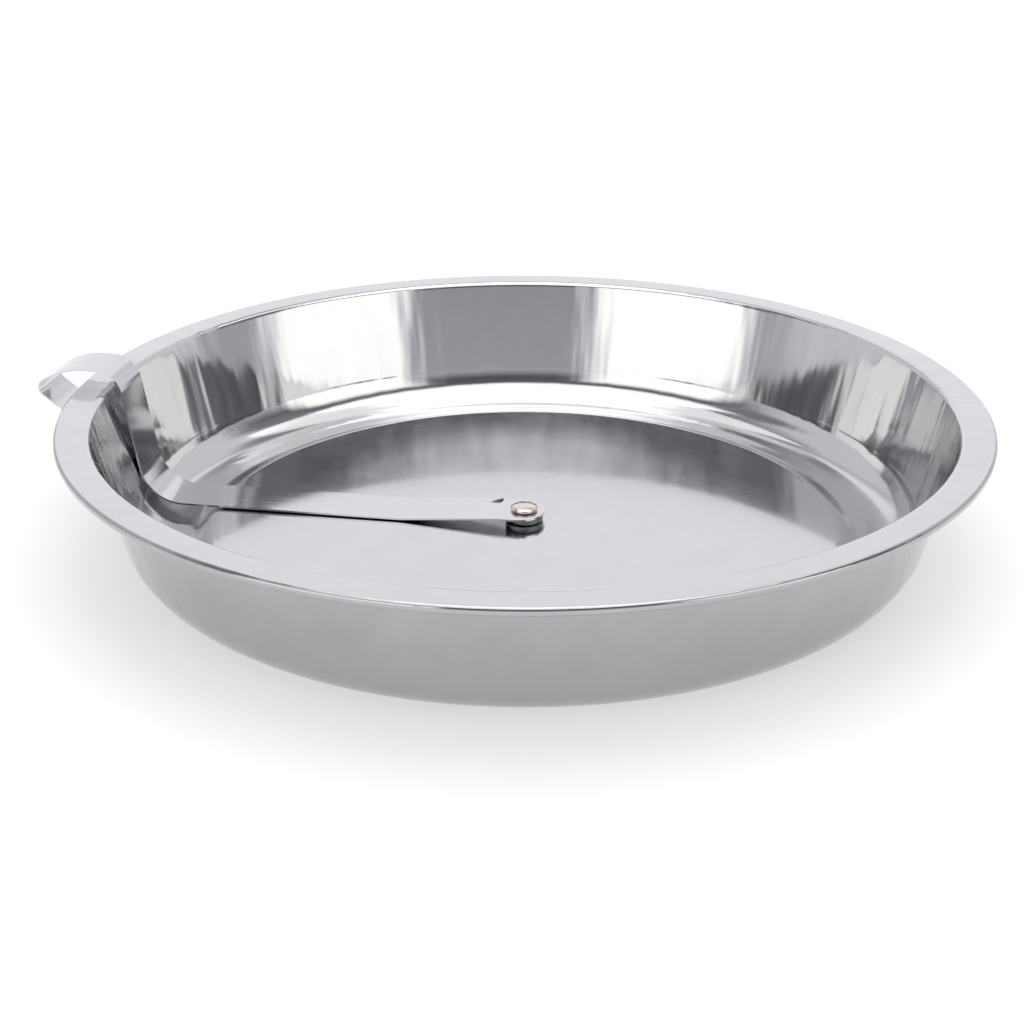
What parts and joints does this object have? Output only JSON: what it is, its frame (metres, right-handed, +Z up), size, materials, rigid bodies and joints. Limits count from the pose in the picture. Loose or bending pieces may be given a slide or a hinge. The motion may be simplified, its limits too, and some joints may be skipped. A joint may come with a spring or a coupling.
{
  "type": "round cake tin with release arm",
  "caption": "Round flanged cake tin whose riveted strip arm sweeps round the base and wall to free a cake, its finger loop riding over the rim.",
  "frame": {"origin": "centre of the footprint, arm included, on the plane that the tin stands on; the tin's own axis, which the arm turns about, stands 6.25 mm from it along +X", "axes": "+Z up along the tin's axis, through its mouth; the arm reaches out over the rim towards -X at rest; +Y completes the right-handed frame"},
  "size_m": [0.2623, 0.25, 0.0423],
  "materials": {
    "tinplate": "bright drawn tinplate, near mirror, with fine turning marks",
    "washer_steel": "plain steel, dull",
    "rivet_steel": "nickel-plated, satin, slightly warm",
    "spring_strip": "bright rolled spring strip"
  },
  "bodies": {
    "tin": {"pan_body": "tinplate", "pivot_rivet": "rivet_steel", "spacer_washer": "washer_steel"},
    "arm": {"release_arm": "spring_strip"}
  },
  "joints": [
    {"name": "arm_sweep", "type": "hinge", "parent": "tin", "child": "arm", "pos_m": [0.00625, 0, 0.005], "axis": [0, 0, 1], "continuous": true}
  ]
}
